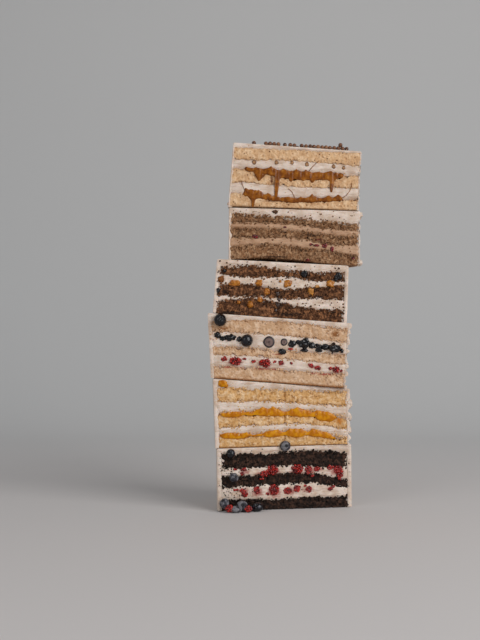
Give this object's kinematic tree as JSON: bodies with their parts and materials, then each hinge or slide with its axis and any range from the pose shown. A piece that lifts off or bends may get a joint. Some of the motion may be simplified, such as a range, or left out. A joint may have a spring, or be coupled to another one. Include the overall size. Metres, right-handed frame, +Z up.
{
  "type": "tower of halved layer cakes",
  "caption": "Leaning tower of halved round layer cakes, cut faces to the front, with sponge, cream, sauce and berries showing, and crisp balls on top.",
  "frame": {"origin": "middle of the bounding box, at the surface that the tower stands on", "axes": "+Z up through the stack, +X along the cut faces to the right as seen from the front, +Y from the cut faces to the rounded backs"},
  "size_m": [0.1796, 0.1096, 0.4214],
  "materials": {
    "cocoa_sponge": "matte",
    "mango_sponge": "matte",
    "vanilla_sponge": "matte",
    "carrot_sponge": "matte",
    "nut_sponge": "matte",
    "caramel_sponge": "matte",
    "cream": "satin",
    "nut_cream": "satin",
    "icing": "satin",
    "mango_sauce": "gloss",
    "caramel_sauce": "gloss",
    "blueberry": "satin",
    "raspberry": "satin"
  },
  "bodies": {
    "root": {"cocoa_sponge_low": "cocoa_sponge", "cocoa_cream_low": "cream", "cocoa_sponge_mid": "cocoa_sponge", "cocoa_cream_high": "cream", "cocoa_sponge_high": "cocoa_sponge", "cocoa_icing": "icing", "mango_sponge_low": "mango_sponge", "mango_sauce_low": "mango_sauce", "mango_cream_low": "cream", "mango_sponge_mid": "mango_sponge", "mango_sauce_high": "mango_sauce", "mango_cream_high": "cream", "mango_sponge_high": "mango_sponge", "mango_icing": "icing", "vanilla_sponge_low": "vanilla_sponge", "vanilla_cream_low": "cream", "vanilla_sponge_mid": "vanilla_sponge", "vanilla_cream_high": "cream", "vanilla_sponge_high": "vanilla_sponge", "vanilla_icing": "icing", "carrot_sponge_low": "carrot_sponge", "carrot_cream_low": "cream", "carrot_sponge_mid": "carrot_sponge", "carrot_cream_high": "cream", "carrot_sponge_high": "carrot_sponge", "carrot_icing": "icing", "nut_sponge_low": "nut_sponge", "nut_cream_low": "nut_cream", "nut_sponge_mid": "nut_sponge", "nut_cream_high": "nut_cream", "nut_sponge_high": "nut_sponge", "nut_icing": "icing", "caramel_sponge_low": "caramel_sponge", "caramel_sauce_low": "caramel_sauce", "caramel_cream_low": "cream", "caramel_sponge_mid": "caramel_sponge", "caramel_sauce_high": "caramel_sauce", "caramel_cream_high": "cream", "caramel_sponge_high": "caramel_sponge", "caramel_icing": "icing", "blueberry_gap": "blueberry", "blueberry_corner": "blueberry", "blueberry_ledge": "blueberry", "raspberry_low_mid": "raspberry", "raspberry_low_right": "raspberry", "raspberry_high_left": "raspberry", "raspberry_high_mid": "raspberry", "raspberry_high_right": "raspberry", "blueberry_top": "blueberry", "blueberry_crushed": "blueberry", "blueberry_whole": "blueberry", "blueberry_cut_large": "blueberry", "blueberry_cut_small": "blueberry", "blueberry_row_1": "blueberry", "blueberry_row_2": "blueberry", "blueberry_row_3": "blueberry", "raspberry_left": "raspberry", "raspberry_mid": "raspberry", "raspberry_right": "raspberry", "fallen_fruit": "blueberry"}
  },
  "joints": []
}
